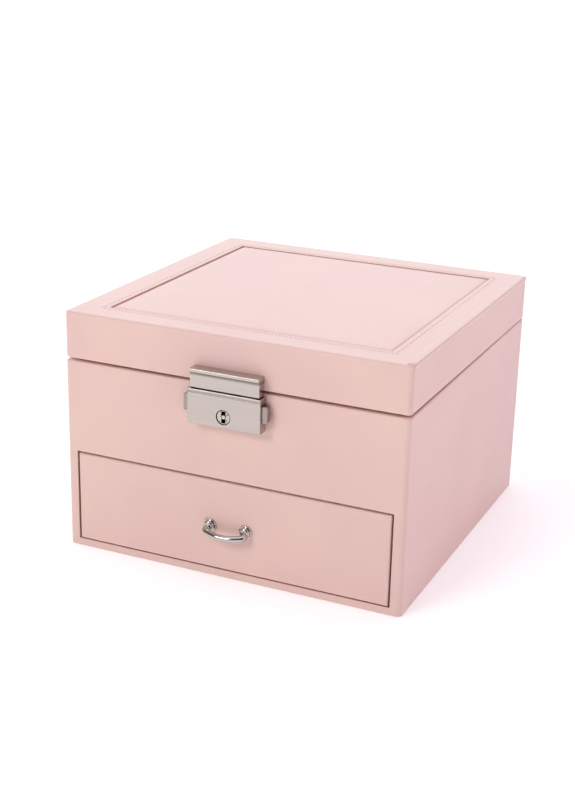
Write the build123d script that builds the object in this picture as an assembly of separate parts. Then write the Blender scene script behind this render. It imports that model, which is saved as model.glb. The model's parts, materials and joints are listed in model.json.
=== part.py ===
from build123d import *
import math
import os

# Jewellery chest: a lidded, locking upper compartment over one drawer, in
# fibreboard wrapped with leatherette. Millimetres, +Z up, the front faces -Y,
# the origin is the centre of the underside.

# Outside sizes
width = 225.0
depth = 225.0
height = 153.2  # with the lid level
carcass_top = 123.7  # rim of the lower box
lid_gap = 0.2  # between the rim and the lid at the hinges
lid_rest_angle = 0.35  # degrees: the lid rests a little open at the front, on the lock
corner_radius = 3.2  # upright outer corners
rim_radius = 1.2  # rounding of the two rims that face each other
lid_edge_radius = 1.4

# Sheet and board thicknesses
cover_thickness = 1.0
turn_in_thickness = 0.5  # leatherette glued inside the lid's walls
board_thickness = 6.0
base_board_thickness = 4.0
base_sheet_thickness = 1.0
base_sheet_inset = 1.5
shelf_thickness = 4.0
lid_board_thickness = 5.0
lid_top_thickness = 6.0
lining_thickness = 1.8
skirt_lift = 0.5  # the outer skin ends this far above the table

# Drawer opening and drawer
bay_height = 59.8
drawer_gap = 1.3  # beside and above the drawer's front
drawer_bottom_gap = 0.8
drawer_front_proud = 0.5
drawer_front_radius = 1.2
drawer_runner_gap = 0.3  # under the drawer's box
drawer_side_gap = 1.6  # beside the drawer's box
drawer_back_gap = 2.5
drawer_board_thickness = 5.0
drawer_bottom_thickness = 3.0
drawer_side_height = 50.0
drawer_divider_height = 38.0
drawer_lining_thickness = 1.5
drawer_front_cell = 84.0

# Upper compartment
lip_height = 5.0  # lining above the rim
divider_thickness = 3.0
divider_height = 42.0
ring_column = 66.0
main_front_cell = 78.0
ring_roll_count = 6
ring_roll_pitch = 17.0
ring_roll_width = 16.2
ring_roll_height = 34.0
soft_gap = 0.5  # round each soft piece

# Lid's top panel and mirror
panel_margin = 20.0  # lid's edge to the wall of the pocket
panel_recess = 0.5
panel_thickness = 2.8
panel_gap = 0.4
mirror_size = 160.0
mirror_thickness = 2.0
mirror_overlap = 5.0
mirror_gap = 0.3
mirror_frame_thickness = 3.6
mirror_frame_radius = 6.0

# Butt hinges
hinge_x = 62.0
hinge_length = 30.0
leaf_height = 13.0
leaf_thickness = 1.0
knuckle_radius = 2.2
knuckle_end_gap = 0.25
knuckle_clearance = 0.3
pin_radius = 1.0
running_clearance = 0.05
hinge_screw_x = 8.5
hinge_screw_drop = 8.6  # screw centre to pin centre
hinge_screw_length = 6.0
hinge_screw_radius = 0.9
hinge_screw_head_radius = 1.8
screw_recess_length = 2.0
screw_recess_width = 0.5
screw_recess_depth = 0.5

# Lock on the carcass
lock_width = 47.5
lock_proud = 8.0
lock_bottom = 101.0
lock_drop = 1.3  # case's top below the carcass rim
lock_wall = 1.2
lock_front_wall = 1.4
lock_edge_radius = 0.5
lock_band_low = 2.5  # brushed band: its edges below the case's top
lock_band_high = 0.8
lock_band_depth = 0.6
back_plate_thickness = 1.0
back_plate_gap = 0.25
boss_radius = 1.9
lock_screw_x = 16.0
lock_screw_lift = 4.0
screw_radius = 1.0
screw_head_radius = 2.2
screw_head_depth = 1.4
screw_hole_gap = 0.05
screw_end_gap = 0.6

# Key plug
plug_lift = 6.8  # plug centre above the case's bottom
plug_radius = 4.15
plug_recess = 0.4
plug_mouth_gap = 0.55
barrel_half_width = 6.2
keyway_width = 2.7
keyway_height = 7.4
keyway_depth = 3.2
key_post_radius = 1.25
key_post_groove = 0.4
tail_size = 3.0
tail_length = 1.3
tail_end_gap = 0.4
cam_thickness = 1.0
cam_gap = 0.1
cam_radius = 3.9
cam_reach = 5.0
cam_width = 3.6

# Side buttons
button_reach = 27.4  # outer end from the centre line
button_height = 10.1
button_lift = 6.7  # above the case's bottom
button_setback = 2.0  # behind the case's front
button_back_gap = 0.6  # in front of the back plate
button_inner_x = 18.5
button_edge_radius = 0.9
button_gap = 0.25
button_travel = 2.0
flange_width = 1.5
flange_rise = 1.2
arm_lift = 6.2  # above the button's bottom
arm_height = 2.4
arm_setback = 0.5  # from the button's front and back
nose_inner_x = 8.0
nose_width = 2.6
nose_height = 3.3
catch_size = 0.5
catch_height = 1.0
spring_lift = 2.9
spring_radius = 1.5
spring_wire_radius = 0.25
spring_pitch = 1.5

# Hasp on the lid
hasp_width = 45.0
hasp_drop = 2.55  # below the lid's lower edge
hasp_height = 11.8
hasp_rib_height = 2.2
hasp_setback = 1.2
hasp_cove_radius = 1.1
hasp_wall = 1.4
hasp_screw_x = 17.0
hasp_screw_lift = 6.9
prong_outer_x = 15.6
prong_width = 3.0
prong_setback = 1.3  # in front of the button's back
prong_bottom_gap = 0.7
prong_slot_gap = 0.5
prong_catch = 1.0
prong_catch_height = 1.2

# Drawer pull
pull_centres = 24.0
pull_rod_radius = 2.1
pull_root = 1.9  # rod's start, in front of the drawer's face
pull_leg = 5.2
pull_splay = 3.3  # the legs lean outward by this much
pull_bow = 10.0
pull_corner_radius = 2.7
pull_bow_radius = 24.0
pull_droop = 22.0  # degrees below level
pull_drop = 0.7  # below the middle of the drawer's front
rosette_radius = 4.4
rosette_flange = 1.1
rosette_dome_radius = 3.4
rosette_thickness = 3.2
rosette_rim = 1.8
rosette_edge_radius = 0.5
pull_screw_radius = 1.3
pull_screw_head_radius = 2.7
pull_screw_head_height = 1.8
pull_screw_bite = 2.6

# Planes and half widths worked out from the sizes above
half_width = width / 2
half_depth = depth / 2
core_x = half_width - cover_thickness
core_y = half_depth - cover_thickness
core_radius = corner_radius - cover_thickness
inner_x = core_x - board_thickness
inner_y = core_y - board_thickness
bay_floor = base_sheet_thickness + base_board_thickness
bay_top = bay_floor + bay_height
wall_top = carcass_top - cover_thickness
shelf_bottom = bay_top + cover_thickness
upper_floor = shelf_bottom + shelf_thickness
lining_floor_top = upper_floor + lining_thickness
lip_top = carcass_top + lip_height
clear_x = inner_x - lining_thickness
clear_y = inner_y - lining_thickness

lid_bottom = carcass_top + lid_gap
lid_wall_bottom = lid_bottom + cover_thickness
lid_core_top = height - cover_thickness
lid_wall_top = lid_core_top - lid_top_thickness
lid_inner_x = core_x - lid_board_thickness
lid_inner_y = core_y - lid_board_thickness
pocket_x = half_width - panel_margin
pocket_y = half_depth - panel_margin
pocket_floor = height - panel_recess - panel_thickness
mirror_frame_bottom = lid_wall_top - mirror_frame_thickness

hinge_y = half_depth + knuckle_clearance + knuckle_radius
hinge_z = carcass_top + lid_gap / 2
front_lift = (hinge_y + half_depth) * math.sin(math.radians(lid_rest_angle))

lock_half = lock_width / 2
lock_front = -half_depth - lock_proud
lock_top = carcass_top - lock_drop
lock_cavity_front = lock_front + lock_front_wall
back_plate_front = -half_depth - back_plate_thickness
plug_z = lock_bottom + plug_lift
barrel_back = back_plate_front - tail_end_gap - tail_length
button_bottom = lock_bottom + button_lift
button_top = button_bottom + button_height
button_front_y = lock_front + button_setback
button_back_y = back_plate_front - button_back_gap
arm_bottom = button_bottom + arm_lift
arm_top = arm_bottom + arm_height
arm_front_y = button_front_y + arm_setback
arm_back_y = button_back_y - arm_setback
prong_back_y = button_back_y - prong_setback
lock_screw_z = lock_bottom + lock_screw_lift
hasp_bottom = lid_bottom - hasp_drop
hasp_top = hasp_bottom + hasp_height
hasp_screw_z = hasp_bottom + hasp_screw_lift

drawer_front_x = inner_x - drawer_gap
drawer_front_bottom = bay_floor + drawer_bottom_gap
drawer_front_top = bay_top - drawer_gap
drawer_face = -half_depth - drawer_front_proud
drawer_front_back = drawer_face + cover_thickness + board_thickness
drawer_box_x = inner_x - drawer_side_gap
drawer_box_bottom = bay_floor + drawer_runner_gap
drawer_box_top = drawer_box_bottom + drawer_side_height
drawer_box_back = inner_y - drawer_back_gap
drawer_clear_x = drawer_box_x - drawer_board_thickness
drawer_clear_back = drawer_box_back - drawer_board_thickness
drawer_floor = drawer_box_bottom + drawer_bottom_thickness
drawer_pad_top = drawer_floor + drawer_lining_thickness
pull_z = (drawer_front_bottom + drawer_front_top) / 2 - pull_drop
pull_half = pull_centres / 2


def block(low, high):
    # A box between two opposite corners.
    size = [b - a for a, b in zip(low, high)]
    middle = [(a + b) / 2 for a, b in zip(low, high)]
    return Pos(*middle) * Box(*size)


def prism(half_x, half_y, radius, low_z, high_z):
    # An upright prism with rounded upright corners.
    outline = Plane.XY.offset(low_z) * RectangleRounded(2 * half_x, 2 * half_y, radius)
    return extrude(outline, high_z - low_z)


def rod(start, end, radius):
    # A round bar between two points.
    start, end = Vector(*start), Vector(*end)
    return extrude(Plane(start, z_dir=end - start) * Circle(radius), (end - start).length)


def cone(start, end, start_radius, end_radius):
    # A countersink or a countersunk head.
    start, end = Vector(*start), Vector(*end)
    length = (end - start).length
    seat = Plane(start, z_dir=end - start)
    return seat * Cone(start_radius, end_radius, length, align=(Align.CENTER, Align.CENTER, Align.MIN))


def mirrored(shape):
    return mirror(shape, about=Plane.YZ)


def both_sides(shape):
    return shape + mirrored(shape)


def edge_along_x(shape, y, z):
    # The edge parallel to X that passes nearest to (y, z).
    return shape.edges().filter_by(Axis.X).sort_by_distance((0, y, z))[0]


def save(name, shape):
    export_step(shape, f"parts/{name}.step")


def save_on_lid(name, shape):
    # Lid pieces are made level, then turned about the hinge pins to where the lid rests.
    pins = Axis((0, hinge_y, hinge_z), (-1, 0, 0))
    save(name, shape.rotate(pins, lid_rest_angle))


def countersunk_screw(x, z, head_y, length, direction, radius, head_radius, head_depth, extra=0.0):
    # A screw along Y with its flat head at head_y, or with extra the hole that clears it.
    bar = rod((x, head_y, z), (x, head_y + direction * length, z), radius + extra)
    head_end = head_y + direction * head_depth
    return bar + cone((x, head_y, z), (x, head_end, z), head_radius + extra, radius + extra)


# Screws that hold the lock, the hasp and the hinges. The same function cuts their holes.
lock_screw_length = -lock_cavity_front - inner_y - screw_end_gap
hasp_plate_front = lock_front + hasp_setback
hasp_screw_length = -hasp_plate_front - hasp_wall - lid_inner_y - screw_end_gap


def lock_screws(extra=0.0):
    return both_sides(
        countersunk_screw(lock_screw_x, lock_screw_z, -inner_y, lock_screw_length, -1,
                          screw_radius, screw_head_radius, screw_head_depth, extra))


def hasp_screws(extra=0.0):
    return both_sides(
        countersunk_screw(hasp_screw_x, hasp_screw_z, -lid_inner_y, hasp_screw_length, -1,
                          screw_radius, screw_head_radius, screw_head_depth, extra))


def hinge_screws(side, extra=0.0):
    # side is -1 for the lower leaves and 1 for the upper ones.
    screws = Part()
    for x in (hinge_x - hinge_screw_x, hinge_x + hinge_screw_x):
        screws += countersunk_screw(x, hinge_z + side * hinge_screw_drop, half_depth + leaf_thickness,
                                    hinge_screw_length, -1, hinge_screw_radius,
                                    hinge_screw_head_radius, leaf_thickness, extra)
    return both_sides(screws)


def cross_recesses(side):
    # The screwdriver's cross in each hinge screw's head.
    head_y = half_depth + leaf_thickness
    z = hinge_z + side * hinge_screw_drop
    cuts = Part()
    for x in (hinge_x - hinge_screw_x, hinge_x + hinge_screw_x):
        for half_x, half_z in ((screw_recess_length / 2, screw_recess_width / 2),
                               (screw_recess_width / 2, screw_recess_length / 2)):
            cuts += block((x - half_x, head_y - screw_recess_depth, z - half_z), (x + half_x, head_y, z + half_z))
    return both_sides(cuts)


def pull_screw_holes():
    return both_sides(
        rod((pull_half, drawer_front_back, pull_z),
            (pull_half, drawer_face - pull_screw_bite, pull_z), pull_screw_radius + screw_hole_gap))


# Carcass boards
def carcass_boards():
    core = prism(core_x, core_y, core_radius, bay_floor, wall_top)
    save("base_board", prism(core_x, core_y, core_radius, base_sheet_thickness, bay_floor))
    left = core & block((-core_x, -core_y, bay_floor), (-inner_x, core_y, wall_top))
    save("left_board", left)
    save("right_board", mirrored(left))
    front = block((-inner_x, -core_y, shelf_bottom), (inner_x, -inner_y, wall_top))
    save("front_board", front - lock_screws(screw_hole_gap))
    back = block((-inner_x, inner_y, bay_floor), (inner_x, core_y, wall_top))
    save("back_board", back - hinge_screws(-1, screw_hole_gap))
    save("shelf_board", block((-inner_x, -inner_y, shelf_bottom), (inner_x, inner_y, upper_floor)))


# Leatherette over the carcass: outside walls, rim, bottom strip and the drawer opening's upper edge.
def carcass_cover():
    outside = prism(half_width, half_depth, corner_radius, skirt_lift, carcass_top)
    outside = fillet(outside.edges().group_by(Axis.Z)[-1], rim_radius)
    boards = prism(core_x, core_y, core_radius, skirt_lift, wall_top)
    mouth = block((-inner_x, -inner_y, wall_top), (inner_x, inner_y, carcass_top))
    opening = block((-inner_x, -half_depth, bay_floor), (inner_x, -core_y, bay_top))
    fold = block((-inner_x, -core_y, bay_top), (inner_x, -inner_y, shelf_bottom))
    skin = outside - boards - mouth - opening + fold
    save("carcass_cover", skin - lock_screws(screw_hole_gap) - hinge_screws(-1, screw_hole_gap))


def base_sheet():
    save("base_sheet", prism(half_width - base_sheet_inset, half_depth - base_sheet_inset,
                             corner_radius - base_sheet_inset, 0, base_sheet_thickness))


# Velvet-wrapped card: the floor, four walls that rise above the rim, and the dividers.
def upper_lining():
    save("lining_floor", block((-inner_x, -inner_y, upper_floor), (inner_x, inner_y, lining_floor_top)))
    left = block((-inner_x, -inner_y, lining_floor_top), (-clear_x, inner_y, lip_top))
    save("lining_left", left)
    save("lining_right", mirrored(left))
    front = block((-clear_x, -inner_y, lining_floor_top), (clear_x, -clear_y, lip_top))
    save("lining_front", front)
    save("lining_back", mirror(front, about=Plane.XZ))


ring_divider_x = -clear_x + ring_column
ring_rolls_end = -clear_y + ring_roll_count * ring_roll_pitch
main_left = ring_divider_x + divider_thickness
main_cross_y = -clear_y + main_front_cell
rear_divider_x = (main_left + clear_x - divider_thickness) / 2


def dividers():
    top = lining_floor_top + divider_height
    save("ring_divider", block((ring_divider_x, -clear_y, lining_floor_top), (main_left, clear_y, top)))
    save("ring_cross_divider", block((-clear_x, ring_rolls_end, lining_floor_top),
                                     (ring_divider_x, ring_rolls_end + divider_thickness, top)))
    save("main_cross_divider", block((main_left, main_cross_y, lining_floor_top),
                                     (clear_x, main_cross_y + divider_thickness, top)))
    save("rear_divider", block((rear_divider_x, main_cross_y + divider_thickness, lining_floor_top),
                               (rear_divider_x + divider_thickness, clear_y, top)))


# Foam rolls with a flat bottom and a half-round top, side by side across the ring column.
def ring_rolls():
    radius = ring_roll_width / 2
    low_x, high_x = -clear_x + soft_gap, ring_divider_x - soft_gap
    crown_z = lining_floor_top + ring_roll_height - radius
    for number in range(ring_roll_count):
        middle_y = -clear_y + (number + 0.5) * ring_roll_pitch
        foam = block((low_x, middle_y - radius, lining_floor_top), (high_x, middle_y + radius, crown_z))
        crown = rod((low_x, middle_y, crown_z), (high_x, middle_y, crown_z), radius)
        save(f"ring_roll_{number + 1}", foam + crown)


# Lid boards
def lid_boards():
    walls = prism(core_x, core_y, core_radius, lid_wall_bottom, lid_wall_top)
    left = walls & block((-core_x, -core_y, lid_wall_bottom), (-lid_inner_x, core_y, lid_wall_top))
    save_on_lid("lid_left_board", left)
    save_on_lid("lid_right_board", mirrored(left))
    front = block((-lid_inner_x, -core_y, lid_wall_bottom), (lid_inner_x, -lid_inner_y, lid_wall_top))
    save_on_lid("lid_front_board", front - hasp_screws(screw_hole_gap))
    back = block((-lid_inner_x, lid_inner_y, lid_wall_bottom), (lid_inner_x, core_y, lid_wall_top))
    save_on_lid("lid_back_board", back - hinge_screws(1, screw_hole_gap))
    top = prism(core_x, core_y, core_radius, lid_wall_top, lid_core_top)
    pocket = block((-pocket_x - cover_thickness, -pocket_y - cover_thickness, pocket_floor),
                   (pocket_x + cover_thickness, pocket_y + cover_thickness, lid_core_top))
    save_on_lid("lid_top_board", top - pocket)


# Leatherette over the lid: outside, down into the pocket, round the lower edge and up inside the walls.
def lid_cover():
    outside = prism(half_width, half_depth, corner_radius, lid_bottom, height)
    outside = fillet(outside.edges().group_by(Axis.Z)[-1], lid_edge_radius)
    outside = fillet(outside.edges().group_by(Axis.Z)[0], rim_radius)
    boards = prism(core_x, core_y, core_radius, lid_wall_bottom, lid_core_top)
    mouth = block((-lid_inner_x, -lid_inner_y, lid_bottom), (lid_inner_x, lid_inner_y, lid_wall_bottom))
    pocket_lining = block((-pocket_x - cover_thickness, -pocket_y - cover_thickness, pocket_floor),
                          (pocket_x + cover_thickness, pocket_y + cover_thickness, lid_core_top))
    pocket = block((-pocket_x, -pocket_y, pocket_floor), (pocket_x, pocket_y, height))
    turn_in = block((-lid_inner_x, -lid_inner_y, lid_bottom), (lid_inner_x, lid_inner_y, mirror_frame_bottom))
    inside_x, inside_y = lid_inner_x - turn_in_thickness, lid_inner_y - turn_in_thickness
    hollow = block((-inside_x, -inside_y, lid_bottom), (inside_x, inside_y, mirror_frame_bottom))
    skin = outside - boards - mouth + pocket_lining - pocket + turn_in - hollow
    # The turn-in hides the hasp screws' heads, so only their shanks are cleared.
    shank_holes = hasp_screws(screw_hole_gap) - turn_in
    save_on_lid("lid_cover", skin - shank_holes - hinge_screws(1, screw_hole_gap))


def lid_panel():
    half_x, half_y = pocket_x - panel_gap, pocket_y - panel_gap
    save_on_lid("lid_panel", block((-half_x, -half_y, pocket_floor), (half_x, half_y, height - panel_recess)))


def mirror_and_frame():
    half = mirror_size / 2
    glass_bottom = lid_wall_top - mirror_thickness
    save_on_lid("mirror", block((-half, -half, glass_bottom), (half, half, lid_wall_top)))
    outer_x, outer_y = lid_inner_x - mirror_gap, lid_inner_y - mirror_gap
    frame = block((-outer_x, -outer_y, mirror_frame_bottom), (outer_x, outer_y, lid_wall_top))
    window = half - mirror_overlap
    rebate = half + mirror_gap
    frame -= prism(window, window, mirror_frame_radius, mirror_frame_bottom, lid_wall_top)
    frame -= block((-rebate, -rebate, glass_bottom), (rebate, rebate, lid_wall_top))
    save_on_lid("mirror_frame", frame)


# One hinge leaf: side is -1 for the carcass leaf, with the two outer knuckles, and 1 for the lid leaf.
def hinge_leaf(side):
    low_x, high_x = hinge_x - hinge_length / 2, hinge_x + hinge_length / 2
    third = hinge_length / 3
    if side < 0:
        spans = ((low_x, low_x + third - knuckle_end_gap), (high_x - third + knuckle_end_gap, high_x))
    else:
        spans = ((low_x + third, high_x - third),)
    clear_of_knuckles = hinge_z + side * (knuckle_radius + knuckle_clearance)
    far = hinge_z + side * leaf_height
    leaf = block((low_x, half_depth, min(clear_of_knuckles, far)),
                 (high_x, half_depth + leaf_thickness, max(clear_of_knuckles, far)))
    for start, end in spans:
        leaf += block((start, half_depth, min(hinge_z, clear_of_knuckles)),
                      (end, half_depth + leaf_thickness, max(hinge_z, clear_of_knuckles)))
        leaf += rod((start, hinge_y, hinge_z), (end, hinge_y, hinge_z), knuckle_radius)
    bore = rod((low_x, hinge_y, hinge_z), (high_x, hinge_y, hinge_z), pin_radius + running_clearance)
    return leaf - bore


def hinges():
    save("hinge_lower_leaves", both_sides(hinge_leaf(-1)) - hinge_screws(-1, screw_hole_gap))
    save_on_lid("hinge_upper_leaves", both_sides(hinge_leaf(1)) - hinge_screws(1, screw_hole_gap))
    low_x, high_x = hinge_x - hinge_length / 2, hinge_x + hinge_length / 2
    save("hinge_pins", both_sides(rod((low_x, hinge_y, hinge_z), (high_x, hinge_y, hinge_z), pin_radius)))
    save("hinge_lower_screws", hinge_screws(-1) - cross_recesses(-1))
    save_on_lid("hinge_upper_screws", hinge_screws(1) - cross_recesses(1))


# Lock case: an open-backed casting with a brushed band under its top edge, side windows for the
# buttons, slots for the hasp's prongs and two screw bosses.
def lock_case():
    case = block((-lock_half, lock_front, lock_bottom), (lock_half, -half_depth, lock_top))
    case = fillet(case.edges().group_by(Axis.Y)[0], lock_edge_radius)
    case -= block((-lock_half, lock_front, lock_top - lock_band_low),
                  (lock_half, lock_front + lock_band_depth, lock_top - lock_band_high))
    case -= block((-lock_half + lock_wall, lock_cavity_front, lock_bottom + lock_wall),
                  (lock_half - lock_wall, -half_depth, lock_top - lock_wall))
    case += both_sides(rod((lock_screw_x, lock_cavity_front, lock_screw_z),
                           (lock_screw_x, back_plate_front, lock_screw_z), boss_radius))
    window = block((-lock_half, button_front_y - button_gap, button_bottom - button_gap),
                   (lock_half, button_back_y + button_gap, button_top + button_gap))
    inside = lock_half - lock_wall
    case -= window - block((-inside, lock_front, lock_bottom), (inside, -half_depth, lock_top))
    case -= both_sides(prong(prong_slot_gap, lock_top - lock_wall, lock_top))
    case -= rod((0, lock_front, plug_z), (0, lock_cavity_front, plug_z), plug_radius + plug_mouth_gap)
    save("lock_case", case - lock_screws(screw_hole_gap))


def prong(extra, low_z, high_z):
    # The right prong's upright, grown by extra all round where it is cut out as a slot.
    inner = prong_outer_x - prong_width - extra
    if extra:
        inner -= prong_catch
    return block((inner, arm_front_y - extra, low_z), (prong_outer_x + extra, prong_back_y + extra, high_z))


def lock_back_plate():
    half_x = lock_half - lock_wall - back_plate_gap
    plate = block((-half_x, back_plate_front, lock_bottom + lock_wall + back_plate_gap),
                  (half_x, -half_depth, lock_top - lock_wall - back_plate_gap))
    save("lock_back_plate", plate - lock_screws(screw_hole_gap))


def lock_barrel():
    foot = lock_bottom + lock_wall
    top = plug_z + (plug_z - foot)
    barrel = block((-barrel_half_width, lock_cavity_front, foot), (barrel_half_width, barrel_back, top))
    save("lock_barrel", barrel - rod((0, lock_cavity_front, plug_z), (0, barrel_back, plug_z),
                                     plug_radius + running_clearance))


# Turning plug with a keyway round a fixed post, and a square tail that carries the cam.
def key_plug():
    front = lock_front + plug_recess
    plug = rod((0, front, plug_z), (0, barrel_back, plug_z), plug_radius)
    groove_radius = key_post_radius + key_post_groove
    keyway = block((-keyway_width / 2, front, plug_z - keyway_height / 2),
                   (keyway_width / 2, front + keyway_depth, plug_z + keyway_height / 2))
    keyway += rod((0, front, plug_z), (0, front + keyway_depth, plug_z), groove_radius)
    post = rod((0, front, plug_z), (0, front + keyway_depth, plug_z), key_post_radius)
    half_tail = tail_size / 2
    tail = block((-half_tail, barrel_back, plug_z - half_tail),
                 (half_tail, barrel_back + tail_length, plug_z + half_tail))
    save("key_plug", plug - (keyway - post) + tail)
    cam_front = barrel_back + cam_gap
    cam = rod((0, cam_front, plug_z), (0, cam_front + cam_thickness, plug_z), cam_radius)
    cam += block((-cam_width / 2, cam_front, plug_z - cam_reach),
                 (cam_width / 2, cam_front + cam_thickness, plug_z))
    half_hole = half_tail + screw_hole_gap
    cam -= block((-half_hole, cam_front, plug_z - half_hole),
                 (half_hole, cam_front + cam_thickness, plug_z + half_hole))
    save("lock_cam", cam)


# Push button with a retaining flange and an arm that ends in an upright catch.
def side_buttons():
    button = block((button_inner_x, button_front_y, button_bottom), (button_reach, button_back_y, button_top))
    button = fillet(button.faces().sort_by(Axis.X)[-1].edges(), button_edge_radius)
    flange_outer = lock_half - lock_wall - button_gap
    button += block((flange_outer - flange_width, button_front_y, button_bottom),
                    (flange_outer, button_back_y, button_top + flange_rise))
    button += block((nose_inner_x, arm_front_y, arm_bottom), (button_inner_x, arm_back_y, arm_top))
    nose_outer_x = nose_inner_x + nose_width
    nose_top = arm_top + nose_height
    button += block((nose_inner_x, arm_front_y, arm_top), (nose_outer_x, arm_back_y, nose_top))
    button += block((nose_outer_x, arm_front_y, nose_top - catch_height),
                    (nose_outer_x + catch_size, arm_back_y, nose_top))
    save("right_button", button)
    save("left_button", mirrored(button))


# Return springs between the barrel and the buttons.
def lock_springs():
    start_x = barrel_half_width + spring_wire_radius
    length = button_inner_x - spring_wire_radius - start_x
    spring_y = (button_front_y + button_back_y) / 2
    line = Helix(spring_pitch, length, spring_radius, center=(start_x, spring_y, button_bottom + spring_lift),
                 direction=(1, 0, 0))
    spring = sweep(Plane(line @ 0, z_dir=line % 0) * Circle(spring_wire_radius), path=line)
    save("right_spring", spring)
    save("left_spring", mirrored(spring))


# Hasp: a rib over a flat plate joined by a small cove, hollow at the back, with two prongs.
def hasp():
    rib_bottom = hasp_top - hasp_rib_height
    half = hasp_width / 2
    body = block((-half, hasp_plate_front, hasp_bottom), (half, -half_depth, hasp_top))
    body += block((-half, lock_front, rib_bottom), (half, -half_depth, hasp_top))
    body = fillet(edge_along_x(body, hasp_plate_front, rib_bottom), hasp_cove_radius)
    for y, z in ((lock_front, hasp_top), (lock_front, rib_bottom), (hasp_plate_front, hasp_bottom)):
        body = fillet(edge_along_x(body, y, z), lock_edge_radius)
    half_hollow = half - hasp_wall
    body -= block((-half_hollow, hasp_plate_front + hasp_wall, hasp_bottom + hasp_wall),
                  (half_hollow, -half_depth, hasp_top - hasp_wall))
    body += both_sides(rod((hasp_screw_x, hasp_plate_front + hasp_wall, hasp_screw_z),
                           (hasp_screw_x, -half_depth, hasp_screw_z), boss_radius))
    prong_bottom = arm_top + prong_bottom_gap - front_lift
    right = prong(0, prong_bottom, hasp_bottom + hasp_wall)
    inner = prong_outer_x - prong_width
    right += block((inner - prong_catch, arm_front_y, prong_bottom),
                   (inner, prong_back_y, prong_bottom + prong_catch_height))
    save_on_lid("hasp", body + both_sides(right) - hasp_screws(screw_hole_gap))


# Drawer
def drawer_front():
    board_x = drawer_front_x - cover_thickness
    board = block((-board_x, drawer_face + cover_thickness, drawer_front_bottom + cover_thickness),
                  (board_x, drawer_front_back, drawer_front_top - cover_thickness))
    save("drawer_front_board", board - pull_screw_holes())
    skin = block((-drawer_front_x, drawer_face, drawer_front_bottom),
                 (drawer_front_x, drawer_front_back, drawer_front_top))
    skin = fillet(skin.faces().sort_by(Axis.Y)[0].edges(), drawer_front_radius)
    save("drawer_front_cover", skin - board - pull_screw_holes())


def drawer_box():
    left = block((-drawer_box_x, drawer_front_back, drawer_box_bottom),
                 (-drawer_clear_x, drawer_box_back, drawer_box_top))
    save("drawer_left_board", left)
    save("drawer_right_board", mirrored(left))
    save("drawer_back_board", block((-drawer_clear_x, drawer_clear_back, drawer_box_bottom),
                                    (drawer_clear_x, drawer_box_back, drawer_box_top)))
    # The bottom board meets the front's board, and clears the skin's turned edge below it.
    save("drawer_bottom_board", block((-drawer_clear_x, drawer_front_back, drawer_box_bottom),
                                      (drawer_clear_x, drawer_clear_back, drawer_floor)))
    save("drawer_lining", block((-drawer_clear_x, drawer_front_back, drawer_floor),
                                (drawer_clear_x, drawer_clear_back, drawer_pad_top)))


def drawer_dividers():
    top = drawer_pad_top + drawer_divider_height
    front = drawer_front_back + drawer_front_cell
    back = front + divider_thickness
    save("drawer_long_divider", block((-drawer_clear_x, front, drawer_pad_top), (drawer_clear_x, back, top)))
    half = divider_thickness / 2
    save("drawer_short_divider", block((-half, back, drawer_pad_top), (half, drawer_clear_back, top)))


# Rigid arch pull: two rosettes and one bowed rod with splayed legs, in a plane that droops.
def drawer_pull():
    seat = Plane((0, drawer_face, pull_z), x_dir=(1, 0, 0), z_dir=(0, 0, 1)).rotated((pull_droop, 0, 0))
    knee = pull_half + pull_splay
    corners = [seat.from_local_coords((x, -y, 0)) for x, y in (
        (-pull_half, pull_root), (-knee, pull_leg), (0, pull_bow), (knee, pull_leg), (pull_half, pull_root))]
    line = FilletPolyline(*corners, radius=[pull_corner_radius, pull_bow_radius, pull_corner_radius])
    pull = sweep(Plane(line @ 0, z_dir=line % 0) * Circle(pull_rod_radius), path=line)
    for radius, thickness, rounding in ((rosette_radius, rosette_flange, rosette_edge_radius),
                                        (rosette_dome_radius, rosette_thickness,
                                         rosette_thickness - rosette_rim)):
        disc = rod((pull_half, drawer_face, pull_z), (pull_half, drawer_face - thickness, pull_z), radius)
        pull += both_sides(fillet(disc.edges().group_by(Axis.Y)[0], rounding))
    save("drawer_pull", pull - pull_screw_holes())
    screw = rod((pull_half, drawer_front_back, pull_z),
                (pull_half, drawer_face - pull_screw_bite, pull_z), pull_screw_radius)
    head = rod((pull_half, drawer_front_back, pull_z),
               (pull_half, drawer_front_back + pull_screw_head_height, pull_z), pull_screw_head_radius)
    head = fillet(head.edges().group_by(Axis.Y)[-1], rosette_edge_radius)
    save("pull_screws", both_sides(screw + head))


os.makedirs("parts", exist_ok=True)
base_sheet()
carcass_boards()
carcass_cover()
upper_lining()
dividers()
ring_rolls()
lid_boards()
lid_cover()
lid_panel()
mirror_and_frame()
hinges()
lock_case()
lock_back_plate()
lock_barrel()
key_plug()
side_buttons()
lock_springs()
hasp()
save("lock_screws", lock_screws())
save_on_lid("hasp_screws", hasp_screws())
drawer_front()
drawer_box()
drawer_dividers()
drawer_pull()
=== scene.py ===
import json
import math
import random

import bmesh
import bpy
from mathutils import Matrix, Vector, noise


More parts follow.
